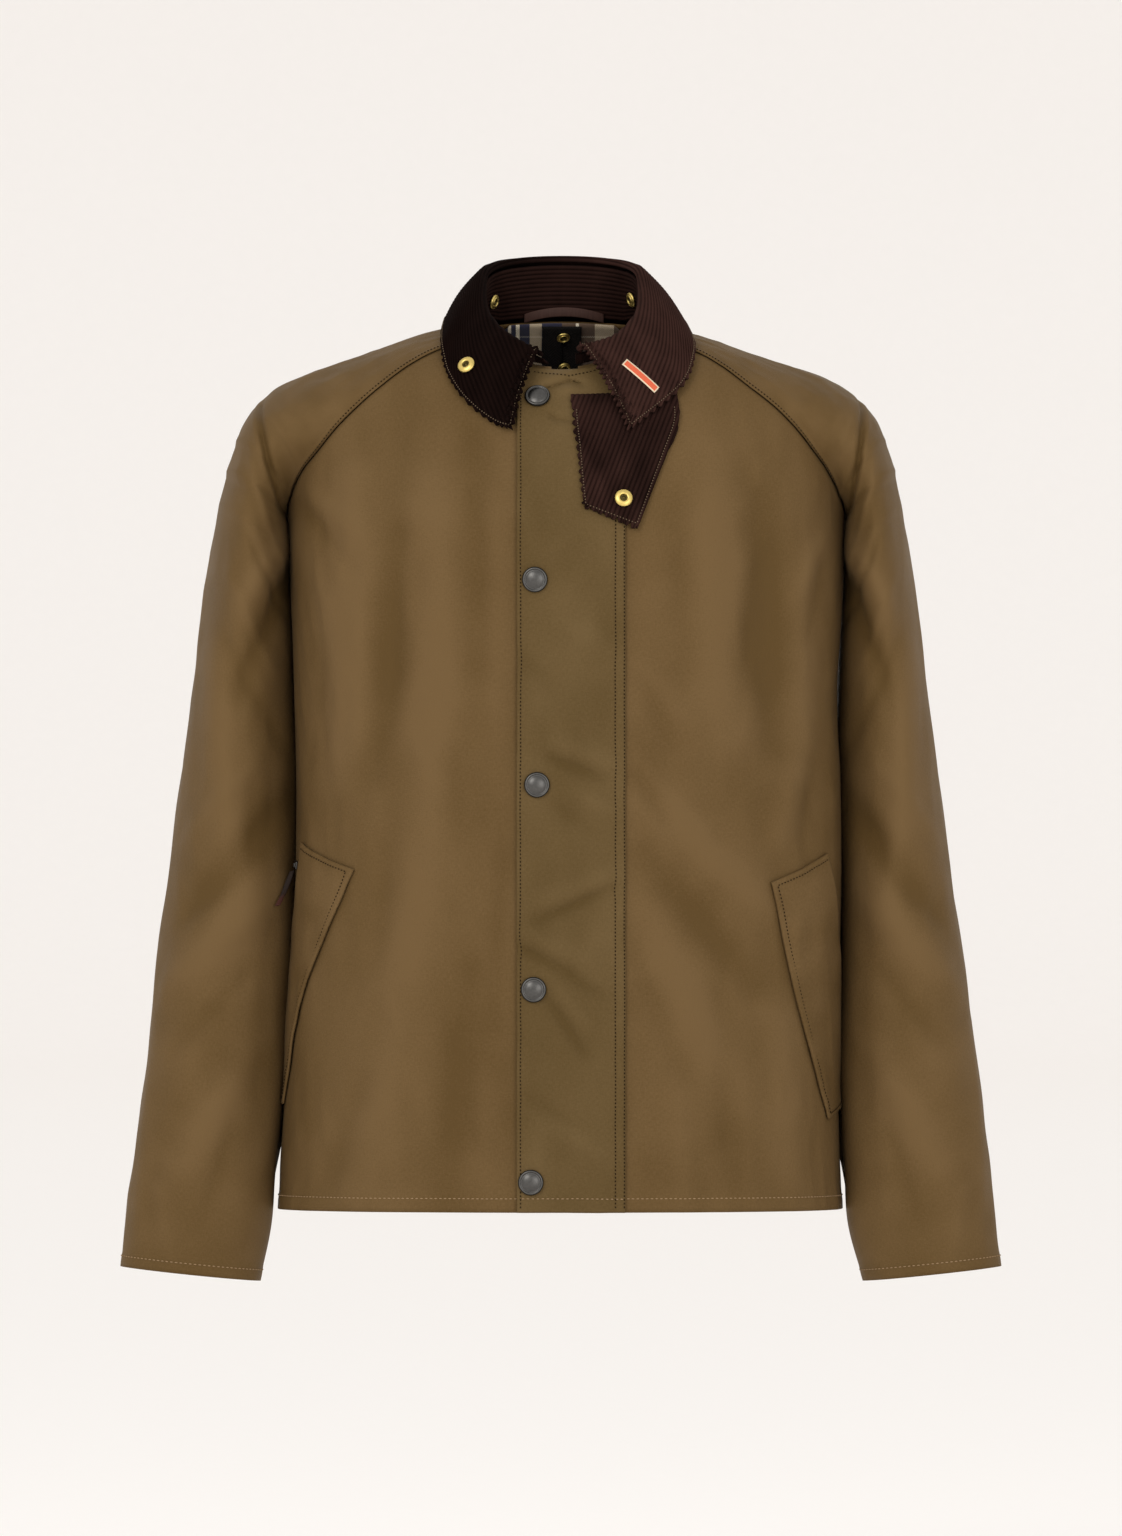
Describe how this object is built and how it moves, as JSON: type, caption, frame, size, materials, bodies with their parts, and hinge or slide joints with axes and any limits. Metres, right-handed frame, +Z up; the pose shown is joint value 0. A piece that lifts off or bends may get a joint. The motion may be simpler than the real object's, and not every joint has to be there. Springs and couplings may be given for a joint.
{
  "type": "waxed cotton jacket",
  "caption": "Hip-length waxed cotton jacket with raglan sleeves, corduroy collar with throat tab, snap storm flap and slanted hand-warmer pockets, filled out as worn.",
  "frame": {"origin": "base of the wearer's neck, midway between the shoulders", "axes": "+Z up, the front faces -Y, +X is the wearer's left"},
  "size_m": [0.6696, 0.2635, 0.7825],
  "materials": {
    "cotton": "waxed cotton, soft uneven sheen",
    "corduroy": "wide-wale cotton corduroy, matt",
    "lining": "woven cotton check",
    "tape": "herringbone tape",
    "satin": "satin weave",
    "label": "woven label with a pale border",
    "gunmetal": "dark burnished metal",
    "brass": "polished brass",
    "leather": "smooth dark leather"
  },
  "bodies": {
    "root": {"back_lining": "lining", "back_panel": "cotton", "collar_fall": "corduroy", "collar_stand": "corduroy", "front_left": "cotton", "front_right": "cotton", "hanger_loop": "satin", "leaf_label": "label", "leaf_socket": "brass", "neck_tape": "tape", "pocket_welt_left": "cotton", "pocket_welt_right": "cotton", "pull_slider": "gunmetal", "pull_tab": "leather", "sleeve_left": "cotton", "sleeve_right": "cotton", "snap_cap_1": "gunmetal", "snap_cap_2": "gunmetal", "snap_cap_3": "gunmetal", "snap_cap_4": "gunmetal", "snap_cap_5": "gunmetal", "stand_socket_left": "brass", "stand_socket_right": "brass", "storm_flap": "cotton", "tab_socket": "brass", "tape_stud_lower": "brass", "tape_stud_upper": "brass", "throat_tab": "corduroy"}
  },
  "joints": []
}
